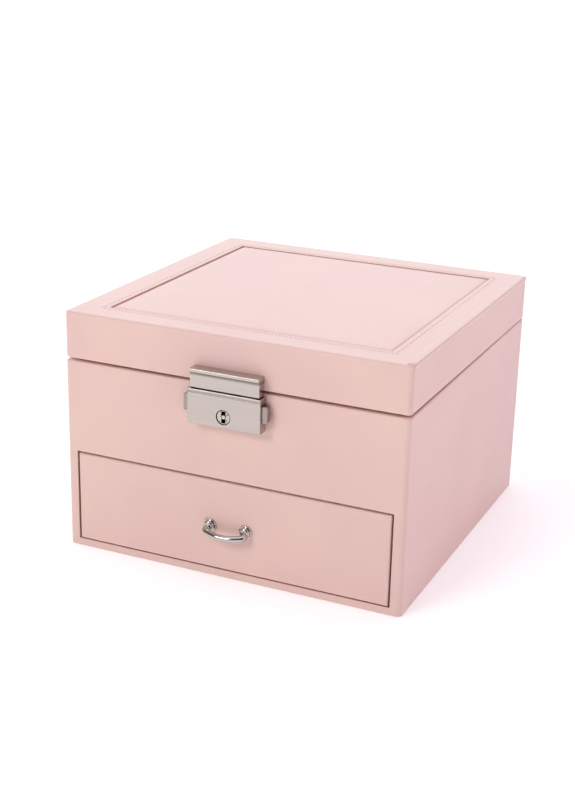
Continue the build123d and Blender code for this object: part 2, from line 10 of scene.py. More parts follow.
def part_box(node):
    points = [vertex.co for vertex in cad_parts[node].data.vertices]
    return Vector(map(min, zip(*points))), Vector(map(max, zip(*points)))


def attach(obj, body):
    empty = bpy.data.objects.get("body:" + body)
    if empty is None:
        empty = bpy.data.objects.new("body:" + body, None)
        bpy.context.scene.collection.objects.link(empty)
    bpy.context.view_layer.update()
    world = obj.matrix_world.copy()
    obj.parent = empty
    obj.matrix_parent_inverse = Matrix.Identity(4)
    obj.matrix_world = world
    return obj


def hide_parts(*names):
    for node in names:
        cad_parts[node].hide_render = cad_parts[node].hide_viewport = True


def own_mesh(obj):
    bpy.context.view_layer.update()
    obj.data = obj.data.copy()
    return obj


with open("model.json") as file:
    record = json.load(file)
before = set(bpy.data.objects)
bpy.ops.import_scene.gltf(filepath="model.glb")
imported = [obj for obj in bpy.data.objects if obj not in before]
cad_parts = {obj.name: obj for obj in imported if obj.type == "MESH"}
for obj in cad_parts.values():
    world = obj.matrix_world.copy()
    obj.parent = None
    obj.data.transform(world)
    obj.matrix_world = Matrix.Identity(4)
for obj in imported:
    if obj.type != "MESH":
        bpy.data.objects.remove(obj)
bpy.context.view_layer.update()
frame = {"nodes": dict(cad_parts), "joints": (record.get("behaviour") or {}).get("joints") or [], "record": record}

mm = 0.001
nodes = frame["nodes"]
scene = bpy.context.scene
scene.view_settings.view_transform = "Standard"
print("stage: frame loaded,", len(nodes), "nodes")


def addNode(tree, kind, settings=None, links=None):
    # A key is a property of the node, or the name or number of one of its sockets.
    made = tree.nodes.new(kind)
    for key, value in (settings or {}).items():
        if isinstance(key, str) and hasattr(made, key):
            setattr(made, key, value)
        else:
            made.inputs[key].default_value = value
    for key, source in (links or {}).items():
        tree.links.new(source, made.inputs[key])
    return made


def toLinear(hexColour):
    channels = [int(hexColour[i:i + 2], 16) / 255 for i in (1, 3, 5)]
    return (*[c / 12.92 if c <= 0.04045 else ((c + 0.055) / 1.055) ** 2.4 for c in channels], 1.0)


def newFinish(name):
    # An empty material, and a place vector in millimetres that stays with the piece.
    finish = bpy.data.materials.new(name)
    finish.use_nodes = True
    tree = finish.node_tree
    tree.nodes.clear()
    place = addNode(tree, "ShaderNodeTexCoord").outputs["Object"]
    inMillimetres = addNode(tree, "ShaderNodeVectorMath", {"operation": "SCALE", "Scale": 1 / mm}, {0: place})
    return finish, tree, inMillimetres.outputs[0]


def closeFinish(tree, shader):
    addNode(tree, "ShaderNodeOutputMaterial", links={"Surface": shader.outputs[0]})


# Polyurethane leatherette, calendered smooth: satin, an even pale pink, with a pore grain that only
# shows as a slight break-up of the highlight, and slow drifts of tone from the roller.
leatherette = {"pink": "#E7C5BE", "warm": "#EACABF", "shade": "#E0BAB4", "grain": 0.55, "grainDepth": 0.014,
               "creaseWidth": 0.12, "creaseTone": 0.16, "drift": 60.0, "roughness": (0.36, 0.45),
               "lacquer": 0.08, "lacquerRoughness": 0.3}


def smoothLeatherette():
    finish, tree, place = newFinish("calendered_pu_leatherette")
    drift = addNode(tree, "ShaderNodeTexNoise", {"Scale": 1 / leatherette["drift"], "Detail": 3.0},
                    {"Vector": place})
    tone = addNode(tree, "ShaderNodeMapRange", {"From Min": 0.35, "From Max": 0.65},
                   {"Value": drift.outputs[0]})
    body = addNode(tree, "ShaderNodeMix", {"data_type": "RGBA", 6: toLinear(leatherette["pink"]),
                                           7: toLinear(leatherette["warm"])}, {0: tone.outputs[0]})
    # pores: cells as wide as the grain, each a shallow pillow with a crease round it
    pores = addNode(tree, "ShaderNodeTexVoronoi", {"feature": "DISTANCE_TO_EDGE",
                                                   "Scale": 1 / leatherette["grain"]}, {"Vector": place})
    crease = addNode(tree, "ShaderNodeMapRange", {"From Max": leatherette["creaseWidth"]},
                     {"Value": pores.outputs[0]})
    speck = addNode(tree, "ShaderNodeTexNoise", {"Scale": 1 / leatherette["grain"], "Detail": 4.0},
                    {"Vector": place})
    depth = addNode(tree, "ShaderNodeMath", {"operation": "MULTIPLY_ADD", 1: 0.5},
                    {0: speck.outputs[0], 2: crease.outputs[0]})
    creaseShare = addNode(tree, "ShaderNodeMapRange", {"To Min": leatherette["creaseTone"], "To Max": 0.0},
                          {"Value": crease.outputs[0]})
    colour = addNode(tree, "ShaderNodeMix", {"data_type": "RGBA", 7: toLinear(leatherette["shade"])},
                     {0: creaseShare.outputs[0], 6: body.outputs[2]})
    dull = addNode(tree, "ShaderNodeMapRange", {"To Min": leatherette["roughness"][0],
                                                "To Max": leatherette["roughness"][1]},
                   {"Value": speck.outputs[0]})
    bump = addNode(tree, "ShaderNodeBump", {"Strength": 0.5, "Distance": leatherette["grainDepth"] * mm},
                   {"Height": depth.outputs[0]})
    shader = addNode(tree, "ShaderNodeBsdfPrincipled",
                     {"IOR": 1.48, "Coat Weight": leatherette["lacquer"],
                      "Coat Roughness": leatherette["lacquerRoughness"]},
                     {"Base Color": colour.outputs[2], "Roughness": dull.outputs[0], "Normal": bump.outputs[0]})
    closeFinish(tree, shader)
    return finish


# Short-pile velvet, brushed by hand: a soft bright rim of sheen and cloudy patches where the pile leans.
velvet = {"pile": "#D9B4AC", "lean": "#C49A93", "patch": 14.0, "pileWidth": 0.45, "pileDepth": 0.12,
          "roughness": 0.92, "sheen": 0.7, "sheenRoughness": 0.35, "sheenTint": "#FFE9E4"}


def brushedVelvet():
    finish, tree, place = newFinish("short_pile_velvet")
    clouds = addNode(tree, "ShaderNodeTexNoise",
                     {"Scale": 1 / velvet["patch"], "Detail": 5.0, "Distortion": 0.6},
                     {"Vector": place})
    # pile drawn about twice as coarse as real pile, so that it shows
    pile = addNode(tree, "ShaderNodeTexNoise", {"Scale": 1 / velvet["pileWidth"], "Detail": 3.0},
                   {"Vector": place})
    both = addNode(tree, "ShaderNodeMath", {"operation": "MULTIPLY_ADD", 1: 0.35},
                   {0: pile.outputs[0], 2: clouds.outputs[0]})
    share = addNode(tree, "ShaderNodeMapRange", {"From Min": 0.5, "From Max": 0.85},
                    {"Value": both.outputs[0]})
    colour = addNode(tree, "ShaderNodeMix", {"data_type": "RGBA", 6: toLinear(velvet["lean"]),
                                             7: toLinear(velvet["pile"])}, {0: share.outputs[0]})
    bump = addNode(tree, "ShaderNodeBump", {"Strength": 0.7, "Distance": velvet["pileDepth"] * mm},
                   {"Height": pile.outputs[0]})
    shader = addNode(tree, "ShaderNodeBsdfPrincipled",
                     {"Roughness": velvet["roughness"], "IOR": 1.45, "Sheen Weight": velvet["sheen"],
                      "Sheen Roughness": velvet["sheenRoughness"], "Sheen Tint": toLinear(velvet["sheenTint"])},
                     {"Base Color": colour.outputs[2], "Normal": bump.outputs[0]})
    closeFinish(tree, shader)
    return finish


# Nickel plate on a zinc casting, belt-brushed along the chest: warm grey, satin, with fine lines along X
# that spread its reflections up and down. The hasp's cove and the band under the lock case's top edge are
# painted darker as painted shade, and the buttons get a darker copy of the nickel, also painted shade.
satinNickel = {"light": "#C6BDB6", "dark": "#B6AEA8", "hollow": "#756E69", "lineLength": 40.0,
               "lineWidth": 0.09, "lineDepth": 0.004, "smear": 9.0, "roughness": (0.16, 0.24)}
# painted shade: a darker copy of the nickel for the buttons
shadedNickel = {"light": "#A9A099", "dark": "#928A84"}
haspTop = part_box("hasp")[1].z / mm
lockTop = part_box("lock_case")[1].z / mm
# Painted shade bands: height of each band's middle, half its height, and how far it goes to the shade's
# tone: the hasp's cove and the band under the lock case's top edge.
hollows = ((haspTop - 3.1, 1.5, 0.8), (lockTop - 1.65, 1.0, 0.55))


def brushedNickel(name, light, dark):
    finish, tree, place = newFinish(name)
    stretch = (1 / satinNickel["lineLength"], 1 / satinNickel["lineWidth"], 1 / satinNickel["lineWidth"])
    along = addNode(tree, "ShaderNodeVectorMath", {"operation": "MULTIPLY", 1: stretch}, {0: place})
    lines = addNode(tree, "ShaderNodeTexNoise", {"Scale": 1.0, "Detail": 4.0}, {"Vector": along.outputs[0]})
    share = addNode(tree, "ShaderNodeMapRange", {"From Min": 0.3, "From Max": 0.7},
                    {"Value": lines.outputs[0]})
    colour = addNode(tree, "ShaderNodeMix", {"data_type": "RGBA", 6: toLinear(dark), 7: toLinear(light)},
                     {0: share.outputs[0]}).outputs[2]
    height = addNode(tree, "ShaderNodeSeparateXYZ", links={0: place}).outputs["Z"]
    # painted shade: the colour is darkened in a band round each listed height, on every nickel piece
    for middle, halfHeight, most in hollows:
        below = addNode(tree, "ShaderNodeMath", {"operation": "SUBTRACT", 1: middle}, {0: height})
        away = addNode(tree, "ShaderNodeMath", {"operation": "ABSOLUTE"}, {0: below.outputs[0]})
        paintedShade = addNode(tree, "ShaderNodeMapRange",
                         {"interpolation_type": "SMOOTHSTEP", "From Max": halfHeight, "To Min": most,
                          "To Max": 0.0}, {"Value": away.outputs[0]})
        colour = addNode(tree, "ShaderNodeMix", {"data_type": "RGBA", 7: toLinear(satinNickel["hollow"])},
                         {0: paintedShade.outputs[0], 6: colour}).outputs[2]
    smear = addNode(tree, "ShaderNodeTexNoise", {"Scale": 1 / satinNickel["smear"], "Detail": 2.0},
                    {"Vector": place})
    dull = addNode(tree, "ShaderNodeMapRange", {"To Min": satinNickel["roughness"][0],
                                                "To Max": satinNickel["roughness"][1]},
                   {"Value": smear.outputs[0]})
    bump = addNode(tree, "ShaderNodeBump", {"Strength": 0.5, "Distance": satinNickel["lineDepth"] * mm},
                   {"Height": lines.outputs[0]})
    shader = addNode(tree, "ShaderNodeBsdfPrincipled", {"Metallic": 1.0},
                     {"Base Color": colour, "Roughness": dull.outputs[0], "Normal": bump.outputs[0]})
    closeFinish(tree, shader)
    return finish


# Chrome plate over a buffed casting: mirror bright, with faint finger smears and hair scratches.
chrome = {"plate": "#C8C4BF", "smeared": "#B8B2AC", "smear": 7.0, "scratch": 0.12, "scratchDepth": 0.002,
          "roughness": (0.04, 0.13)}


def buffedChrome():
    finish, tree, place = newFinish("buffed_chrome_plate")
    smear = addNode(tree, "ShaderNodeTexNoise",
                    {"Scale": 1 / chrome["smear"], "Detail": 3.0, "Distortion": 0.8},
                    {"Vector": place})
    dull = addNode(tree, "ShaderNodeMapRange", {"From Min": 0.35, "From Max": 0.75,
                                                "To Min": chrome["roughness"][0],
                                                "To Max": chrome["roughness"][1]},
                   {"Value": smear.outputs[0]})
    tint = addNode(tree, "ShaderNodeMix", {"data_type": "RGBA", 6: toLinear(chrome["plate"]),
                                           7: toLinear(chrome["smeared"])}, {0: smear.outputs[0]})
    hair = addNode(tree, "ShaderNodeTexNoise", {"Scale": 1 / chrome["scratch"], "Detail": 2.0},
                   {"Vector": place})
    bump = addNode(tree, "ShaderNodeBump", {"Strength": 0.25, "Distance": chrome["scratchDepth"] * mm},
                   {"Height": hair.outputs[0]})
    shader = addNode(tree, "ShaderNodeBsdfPrincipled", {"Metallic": 1.0},
                     {"Base Color": tint.outputs[2], "Roughness": dull.outputs[0], "Normal": bump.outputs[0]})
    closeFinish(tree, shader)
    return finish


# Bright zinc plate on stamped steel: cool grey with small crystals and a trace of yellow passivation.
zinc = {"cool": "#C6CACC", "passivated": "#CFC8B4", "crystal": 1.3, "crystalDepth": 0.01, "film": 6.0,
        "roughness": (0.24, 0.42)}


def zincPlate():
    finish, tree, place = newFinish("bright_zinc_plate")
    crystals = addNode(tree, "ShaderNodeTexVoronoi", {"Scale": 1 / zinc["crystal"]}, {"Vector": place})
    film = addNode(tree, "ShaderNodeTexNoise", {"Scale": 1 / zinc["film"], "Detail": 3.0}, {"Vector": place})
    colour = addNode(tree, "ShaderNodeMix", {"data_type": "RGBA", 6: toLinear(zinc["cool"]),
                                             7: toLinear(zinc["passivated"])}, {0: film.outputs[0]})
    dull = addNode(tree, "ShaderNodeMapRange",
                   {"To Min": zinc["roughness"][0], "To Max": zinc["roughness"][1]},
                   {"Value": crystals.outputs["Color"]})
    bump = addNode(tree, "ShaderNodeBump", {"Strength": 0.3, "Distance": zinc["crystalDepth"] * mm},
                   {"Height": crystals.outputs["Distance"]})
    shader = addNode(tree, "ShaderNodeBsdfPrincipled", {"Metallic": 1.0},
                     {"Base Color": colour.outputs[2], "Roughness": dull.outputs[0], "Normal": bump.outputs[0]})
    closeFinish(tree, shader)
    return finish


# Brass turned on a lathe about the lock's axis: yellow with fine rings left by the tool, and black with
# oil and dust where the plug turns in it.
brass = {"bright": "#D9B36C", "dull": "#B58B46", "grime": "#1E1712", "feed": 0.22, "ringDepth": 0.01,
         "tarnish": 3.0, "grimeWidth": 1.2, "roughness": 0.32}
plugLow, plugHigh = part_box("key_plug")
plugRadius = (plugHigh.x - plugLow.x) / 2 / mm
plugAxis = Vector((0, 0, (plugLow.z + plugHigh.z) / 2)) / mm


def fromPlugAxis(tree, place):
    # Distance from the plug's axis, in millimetres.
    away = addNode(tree, "ShaderNodeVectorMath", {"operation": "SUBTRACT", 1: plugAxis}, {0: place})
    flat = addNode(tree, "ShaderNodeVectorMath", {"operation": "MULTIPLY", 1: (1, 0, 1)},
                   {0: away.outputs[0]})
    return addNode(tree, "ShaderNodeVectorMath", {"operation": "LENGTH"},
                   {0: flat.outputs[0]}).outputs["Value"]


def turnedBrass():
    finish, tree, place = newFinish("turned_brass")
    distance = fromPlugAxis(tree, place)
    rings = addNode(tree, "ShaderNodeMath", {"operation": "PINGPONG", 1: brass["feed"]}, {0: distance})
    tarnish = addNode(tree, "ShaderNodeTexNoise", {"Scale": 1 / brass["tarnish"], "Detail": 4.0},
                      {"Vector": place})
    colour = addNode(tree, "ShaderNodeMix", {"data_type": "RGBA", 6: toLinear(brass["bright"]),
                                             7: toLinear(brass["dull"])}, {0: tarnish.outputs[0]})
    dirty = addNode(tree, "ShaderNodeMapRange", {"From Min": plugRadius + brass["grimeWidth"],
                                                 "From Max": plugRadius + brass["grimeWidth"] / 2},
                    {0: distance})
    oiled = addNode(tree, "ShaderNodeMix", {"data_type": "RGBA", 7: toLinear(brass["grime"])},
                    {0: dirty.outputs[0], 6: colour.outputs[2]})
    bump = addNode(tree, "ShaderNodeBump", {"Strength": 0.4, "Distance": brass["ringDepth"] * mm},
                   {"Height": rings.outputs[0]})
    shader = addNode(tree, "ShaderNodeBsdfPrincipled", {"Metallic": 1.0, "Roughness": brass["roughness"]},
                     {"Base Color": oiled.outputs[2], "Normal": bump.outputs[0]})
    closeFinish(tree, shader)
    return finish


# The key plug's face, turned and nickel plated: fine rings that catch the light as two crescents, and a
# keyway painted black below the face as painted shade.
plugFace = {"plate": "#C9C2BA", "worn": "#8E867E", "inside": "#15110F", "feed": 0.35, "ringDepth": 0.02,
            "wear": 1.8, "darkFrom": 0.15, "darkTo": 0.7, "roughness": 0.2}


def turnedPlug():
    finish, tree, place = newFinish("turned_nickel_plug")
    distance = fromPlugAxis(tree, place)
    rings = addNode(tree, "ShaderNodeMath", {"operation": "PINGPONG", 1: plugFace["feed"]}, {0: distance})
    wear = addNode(tree, "ShaderNodeTexNoise", {"Scale": 1 / plugFace["wear"], "Detail": 3.0},
                   {"Vector": place})
    share = addNode(tree, "ShaderNodeMapRange", {"From Min": 0.42, "From Max": 0.6},
                    {"Value": wear.outputs[0]})
    colour = addNode(tree, "ShaderNodeMix", {"data_type": "RGBA", 6: toLinear(plugFace["plate"]),
                                             7: toLinear(plugFace["worn"])}, {0: share.outputs[0]})
    # painted shade: black in the keyway, deeper than the face
    depth = addNode(tree, "ShaderNodeSeparateXYZ", links={0: place}).outputs["Y"]
    below = addNode(tree, "ShaderNodeMapRange", {"From Min": plugLow.y / mm + plugFace["darkFrom"],
                                                 "From Max": plugLow.y / mm + plugFace["darkTo"]}, {0: depth})
    inside = addNode(tree, "ShaderNodeMix", {"data_type": "RGBA", 7: toLinear(plugFace["inside"])},
                     {0: below.outputs[0], 6: colour.outputs[2]})
    bump = addNode(tree, "ShaderNodeBump", {"Strength": 0.5, "Distance": plugFace["ringDepth"] * mm},
                   {"Height": rings.outputs[0]})
    shader = addNode(tree, "ShaderNodeBsdfPrincipled", {"Metallic": 1.0, "Roughness": plugFace["roughness"]},
                     {"Base Color": inside.outputs[2], "Normal": bump.outputs[0]})
    closeFinish(tree, shader)
    return finish


# Medium-density fibreboard, sawn: matt brown felted fibres with darker flecks.
fibreboard = {"pale": "#B08D68", "dark": "#8C6A48", "fibre": 1.2, "fleck": 2.4, "fibreDepth": 0.05,
              "roughness": 0.85}


def sawnFibreboard():
    finish, tree, place = newFinish("sawn_fibreboard")
    fibres = addNode(tree, "ShaderNodeTexNoise", {"Scale": 1 / fibreboard["fibre"], "Detail": 6.0,
                                                  "Roughness": 0.65, "Distortion": 1.2}, {"Vector": place})
    flecks = addNode(tree, "ShaderNodeTexVoronoi", {"Scale": 1 / fibreboard["fleck"]}, {"Vector": place})
    both = addNode(tree, "ShaderNodeMath", {"operation": "MULTIPLY_ADD", 1: 0.3},
                   {0: flecks.outputs["Distance"], 2: fibres.outputs[0]})
    share = addNode(tree, "ShaderNodeMapRange", {"From Min": 0.4, "From Max": 0.85},
                    {"Value": both.outputs[0]})
    colour = addNode(tree, "ShaderNodeMix", {"data_type": "RGBA", 6: toLinear(fibreboard["dark"]),
                                             7: toLinear(fibreboard["pale"])}, {0: share.outputs[0]})
    bump = addNode(tree, "ShaderNodeBump", {"Strength": 0.5, "Distance": fibreboard["fibreDepth"] * mm},
                   {"Height": fibres.outputs[0]})
    shader = addNode(tree, "ShaderNodeBsdfPrincipled", {"Roughness": fibreboard["roughness"]},
                     {"Base Color": colour.outputs[2], "Normal": bump.outputs[0]})
    closeFinish(tree, shader)
    return finish


# Float glass, silvered on the back: a clear cold reflection under a clean glass face.
mirrorGlass = {"silver": "#EEF1F0", "edgeGreen": "#E6ECEA", "haze": 40.0, "hazeRoughness": 0.035}


def silveredGlass():
    finish, tree, place = newFinish("silvered_float_glass")
    haze = addNode(tree, "ShaderNodeTexNoise", {"Scale": 1 / mirrorGlass["haze"], "Detail": 4.0},
                   {"Vector": place})
    dull = addNode(tree, "ShaderNodeMapRange", {"From Min": 0.4, "From Max": 0.8, "To Min": 0.0,
                                                "To Max": mirrorGlass["hazeRoughness"]},
                   {"Value": haze.outputs[0]})
    tint = addNode(tree, "ShaderNodeMix", {"data_type": "RGBA", 6: toLinear(mirrorGlass["silver"]),
                                           7: toLinear(mirrorGlass["edgeGreen"])}, {0: haze.outputs[0]})
    shader = addNode(tree, "ShaderNodeBsdfPrincipled",
                     {"Metallic": 1.0, "Coat Weight": 1.0, "Coat Roughness": 0.01},
                     {"Base Color": tint.outputs[2], "Roughness": dull.outputs[0]})
    closeFinish(tree, shader)
    return finish


# Spun-bonded polypropylene felt under the base: matt, with rows of pressed dimples.
underCloth = {"felt": "#C9A8A3", "pressed": "#B08F8A", "dimple": 1.6, "dimpleDepth": 0.08, "fibre": 0.5,
              "roughness": 0.9}


def spunBondedCloth():
    finish, tree, place = newFinish("spun_bonded_cloth")
    dimples = addNode(tree, "ShaderNodeTexVoronoi", {"Scale": 1 / underCloth["dimple"], "Randomness": 0.0},
                      {"Vector": place})
    fibres = addNode(tree, "ShaderNodeTexNoise",
                     {"Scale": 1 / underCloth["fibre"], "Detail": 5.0, "Distortion": 2.0},
                     {"Vector": place})
    share = addNode(tree, "ShaderNodeMapRange", {"From Min": 0.15, "From Max": 0.4},
                    {"Value": dimples.outputs["Distance"]})
    colour = addNode(tree, "ShaderNodeMix", {"data_type": "RGBA", 6: toLinear(underCloth["pressed"]),
                                             7: toLinear(underCloth["felt"])}, {0: share.outputs[0]})
    height = addNode(tree, "ShaderNodeMath", {"operation": "MULTIPLY_ADD", 1: 0.3},
                     {0: fibres.outputs[0], 2: share.outputs[0]})
    bump = addNode(tree, "ShaderNodeBump", {"Strength": 0.6, "Distance": underCloth["dimpleDepth"] * mm},
                   {"Height": height.outputs[0]})
    shader = addNode(tree, "ShaderNodeBsdfPrincipled",
                     {"Roughness": underCloth["roughness"], "Sheen Weight": 0.2},
                     {"Base Color": colour.outputs[2], "Normal": bump.outputs[0]})
    closeFinish(tree, shader)
    return finish


# Bonded polyester sewing thread, twisted from plies: a little brighter than the leatherette, with painted
# highlight on each ply and painted shade between them.
thread = {"lit": "#ECCDC6", "grooveShade": "#DDB5AE", "twist": 0.7, "plyDepth": 0.04, "roughness": 0.55}


def twistedThread():
    finish, tree, place = newFinish("twisted_polyester_thread")
    plies = addNode(tree, "ShaderNodeTexWave",
                    {"bands_direction": "DIAGONAL", "Scale": 0.3 / thread["twist"]},
                    {"Vector": place})
    # painted highlight and painted shade, in bands across the plies
    colour = addNode(tree, "ShaderNodeMix", {"data_type": "RGBA", 6: toLinear(thread["grooveShade"]),
                                             7: toLinear(thread["lit"])}, {0: plies.outputs[1]})
    bump = addNode(tree, "ShaderNodeBump", {"Strength": 0.5, "Distance": thread["plyDepth"] * mm},
                   {"Height": plies.outputs[1]})
    shader = addNode(tree, "ShaderNodeBsdfPrincipled",
                     {"Roughness": thread["roughness"], "Sheen Weight": 0.3},
                     {"Base Color": colour.outputs[2], "Normal": bump.outputs[0]})
    closeFinish(tree, shader)
    return finish


# Needle holes: painted shade, dark discs at the holes, mottled by a fine noise.
needleHole = {"rim": "#8F5F58", "holeShade": "#5E3833", "weave": 0.3}


def paintedHoleShade():
    finish, tree, place = newFinish("painted_needle_hole_shade")
    weave = addNode(tree, "ShaderNodeTexNoise", {"Scale": 1 / needleHole["weave"], "Detail": 3.0},
                    {"Vector": place})
    colour = addNode(tree, "ShaderNodeMix", {"data_type": "RGBA", 6: toLinear(needleHole["holeShade"]),
                                             7: toLinear(needleHole["rim"])}, {0: weave.outputs[0]})
    shader = addNode(tree, "ShaderNodeBsdfPrincipled", {"Roughness": 0.8}, {"Base Color": colour.outputs[2]})
    closeFinish(tree, shader)
    return finish


finishes = {
    "leatherette": smoothLeatherette(),
    "velvet": brushedVelvet(),
    "underside_cloth": spunBondedCloth(),
    "fibreboard": sawnFibreboard(),
    "mirror_glass": silveredGlass(),
    "satin_nickel": brushedNickel("belt_brushed_nickel", satinNickel["light"], satinNickel["dark"]),
    "polished_chrome": buffedChrome(),
    "brass": turnedBrass(),
    "zinc_plated_steel": zincPlate(),
}
finishes["padded_leatherette"] = finishes["leatherette"]
finishes["velvet_foam"] = finishes["velvet"]
# the buttons' darker nickel is painted shade
shadedButtonFinish = brushedNickel("shaded_nickel_copy", shadedNickel["light"], shadedNickel["dark"])
ownFinishes = {"key_plug": turnedPlug(), "left_button": shadedButtonFinish, "right_button": shadedButtonFinish}
threadFinish = twistedThread()
holeShadeFinish = paintedHoleShade()
for row in frame["record"]["subparts"]:
    part = nodes[row["node"]]
    if not part.material_slots:
        part.data.materials.append(None)
    for materialSlot in part.material_slots:
        materialSlot.link = "OBJECT"
        materialSlot.material = ownFinishes.get(row["node"], finishes[row["material_slot"]])
print("stage: finishes on every node")


# Worn or folded edges on the sharp pieces: radius in millimetres for each kind. A kind stands for every
# piece with that word in its name. The drawer's skin keeps the rounding that it has.
edgeRadius = {
    "lining": 0.7, "divider": 0.9, "mirror_frame": 0.8, "_board": 0.3, "carcass_cover": 0.45,
    "lid_cover": 0.45, "lock_case": 0.14, "hasp": 0.14, "button": 0.2, "lock_back_plate": 0.1,
    "lock_barrel": 0.15, "lock_cam": 0.1, "leaves": 0.15, "key_plug": 0.12, "mirror": 0.4, "screws": 0.08,
    "hinge_pins": 0.15, "base_sheet": 0.3,
}
bevel = {"segments": 3, "sharperThan": 40.0, "weldGap": 0.002}


def softenEdges(name, radius):
    part = nodes[name]
    joined = part.modifiers.new("joined", "WELD")
    joined.merge_threshold = bevel["weldGap"] * mm
    rounded = part.modifiers.new("rounded", "BEVEL")
    rounded.width = radius * mm
    rounded.segments = bevel["segments"]
    rounded.limit_method = "ANGLE"
    rounded.angle_limit = math.radians(bevel["sharperThan"])
    rounded.harden_normals = False
    shaded = part.modifiers.new("shaded", "WEIGHTED_NORMAL")
    shaded.weight = 100
    shaded.keep_sharp = False


for name in nodes:
    kinds = [kind for kind in edgeRadius if kind in name]
    if kinds and not name.startswith(("ring_roll", "drawer_front_cover")):
        softenEdges(name, edgeRadius[max(kinds, key=len)])
print("stage: edges rounded")


# The lid rests slightly open. Its pieces are made level, then turned about the hinge pins to where it rests.
lidHinge = next(joint for joint in frame["joints"] if joint["name"] == "lid_hinge")
hingePoint = Vector(lidHinge["pos_m"])
panelTop = max(nodes["lid_panel"].data.polygons, key=lambda face: face.normal.z * face.area)
lidTilt = math.atan2(panelTop.normal.y, panelTop.normal.z)
lidRest = (Matrix.Translation(hingePoint) @ Matrix.Rotation(-lidTilt, 4, "X")
           @ Matrix.Translation(-hingePoint))
levelLid = lidRest.inverted()


def levelBox(name):
    points = [levelLid @ vertex.co for vertex in nodes[name].data.vertices]
    return (Vector([min(p[i] for p in points) for i in range(3)]),
            Vector([max(p[i] for p in points) for i in range(3)]))


lidLow, lidHigh = levelBox("lid_cover")
panelLow, panelHigh = levelBox("lid_panel")


def meshFrom(bm, name):
    mesh = bpy.data.meshes.new(name)
    bm.to_mesh(mesh)
    bm.free()
    return mesh


def skinRows(bm, rows):
    # Faces from each row of points to the next, all the way round, and one across each end.
    for near, far in zip(rows, rows[1:]):
        for k in range(len(near)):
            after = (k + 1) % len(near)
            bm.faces.new([near[k], near[after], far[after], far[k]])
    bm.faces.new(rows[0])
    bm.faces.new(list(reversed(rows[-1])))


def addPiece(name, mesh, finish, body):
    bm = bmesh.new()
    bm.from_mesh(mesh)
    bmesh.ops.recalc_face_normals(bm, faces=bm.faces)
    for face in bm.faces:
        face.smooth = True
    bm.to_mesh(mesh)
    bm.free()
    piece = bpy.data.objects.new(name, mesh)
    scene.collection.objects.link(piece)
    mesh.materials.append(finish)
    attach(piece, body)
    return piece


foamCover = {"stiffness": 40.0, "bending": 1.0, "quality": 8}


def puffUp(piece, pinned, pressure, cap, frames):
    # Cloth under air pressure, from a slightly small shape. No point moves further than the cap.
    group = piece.vertex_groups.new(name="held")
    group.add(pinned, 1.0, "REPLACE")
    cloth = piece.modifiers.new("puff", "CLOTH")
    cloth.settings.vertex_group_mass = "held"
    cloth.settings.use_pressure = True
    cloth.settings.uniform_pressure_force = pressure
    cloth.settings.effector_weights.gravity = 0
    cloth.settings.tension_stiffness = foamCover["stiffness"]
    cloth.settings.compression_stiffness = foamCover["stiffness"]
    cloth.settings.bending_stiffness = foamCover["bending"]
    cloth.settings.quality = foamCover["quality"]
    cloth.collision_settings.use_collision = False
    cloth.point_cache.frame_start, cloth.point_cache.frame_end = 1, frames
    before = [vertex.co.copy() for vertex in piece.data.vertices]
    for step in range(1, frames + 1):
        scene.frame_set(step)
    depsgraph = bpy.context.evaluated_depsgraph_get()
    puffed = piece.evaluated_get(depsgraph).to_mesh()
    after = [vertex.co.copy() for vertex in puffed.vertices]
    piece.evaluated_get(depsgraph).to_mesh_clear()
    piece.modifiers.remove(cloth)
    for vertex, old, new in zip(piece.data.vertices, before, after):
        shift = new - old
        vertex.co = old + shift * min(1.0, cap / max(shift.length, 1e-9))
    scene.frame_set(1)


# Padded lid panel: card and thin foam under leatherette, pressed into the lid's pocket until it is nearly
# flush, so that only a thin crease shows round it.
paddedPanel = {"cells": 60, "edgeRoll": 0.3, "lift": 0.2, "swell": 0.22, "pressure": 3.0, "cap": 0.15,
               "frames": 16}


def makePaddedPanel():
    cells = paddedPanel["cells"]
    half = (panelHigh - panelLow) / 2 + Vector((1, 1, 0)) * paddedPanel["swell"] * mm
    centre = (panelHigh + panelLow) / 2
    roll = paddedPanel["edgeRoll"] * mm
    bm = bmesh.new()
    grid = {}
    for level in (0, 1):
        for i in range(cells + 1):
            for j in range(cells + 1):
                u, v = 2 * i / cells - 1, 2 * j / cells - 1
                x, y = u * half.x, v * half.y
                edge = min(half.x - abs(x), half.y - abs(y))
                drop = roll * max(0.0, 1 - edge / (2 * roll)) ** 2 if level else 0.0
                z = (panelHigh.z + paddedPanel["lift"] * mm - drop) if level else panelLow.z
                grid[level, i, j] = bm.verts.new((centre.x + x, centre.y + y, z))
    for i in range(cells):
        for j in range(cells):
            for level in (0, 1):
                bm.faces.new([grid[level, i, j], grid[level, i + 1, j], grid[level, i + 1, j + 1],
                              grid[level, i, j + 1]])
    for k in range(cells):
        for (a, b) in (((k, 0), (k + 1, 0)), ((k, cells), (k + 1, cells)), ((0, k), (0, k + 1)),
                       ((cells, k), (cells, k + 1))):
            bm.faces.new([grid[0, *a], grid[0, *b], grid[1, *b], grid[1, *a]])
    mesh = meshFrom(bm, "padded_panel")
    mesh.transform(lidRest)
    piece = addPiece("padded_panel", mesh, finishes["padded_leatherette"], "lid")
    floor = [v.index for v in mesh.vertices if (levelLid @ v.co).z < panelLow.z + 0.1 * mm]
    puffUp(piece, floor, paddedPanel["pressure"], paddedPanel["cap"] * mm, paddedPanel["frames"])
    smoother = piece.modifiers.new("smoother", "SUBSURF")
    smoother.levels = smoother.render_levels = 1
    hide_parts("lid_panel")


makePaddedPanel()
print("stage: padded panel")


# Ring rolls: velvet over soft foam, standing side by side so that a ring slips between two.
ringRoll = {"shrink": 0.5, "voxel": 3.0, "lumps": 0.25, "lumpLength": 12, "gluedHeight": 4, "pressure": 4.0,
            "cap": 0.75, "frames": 18}


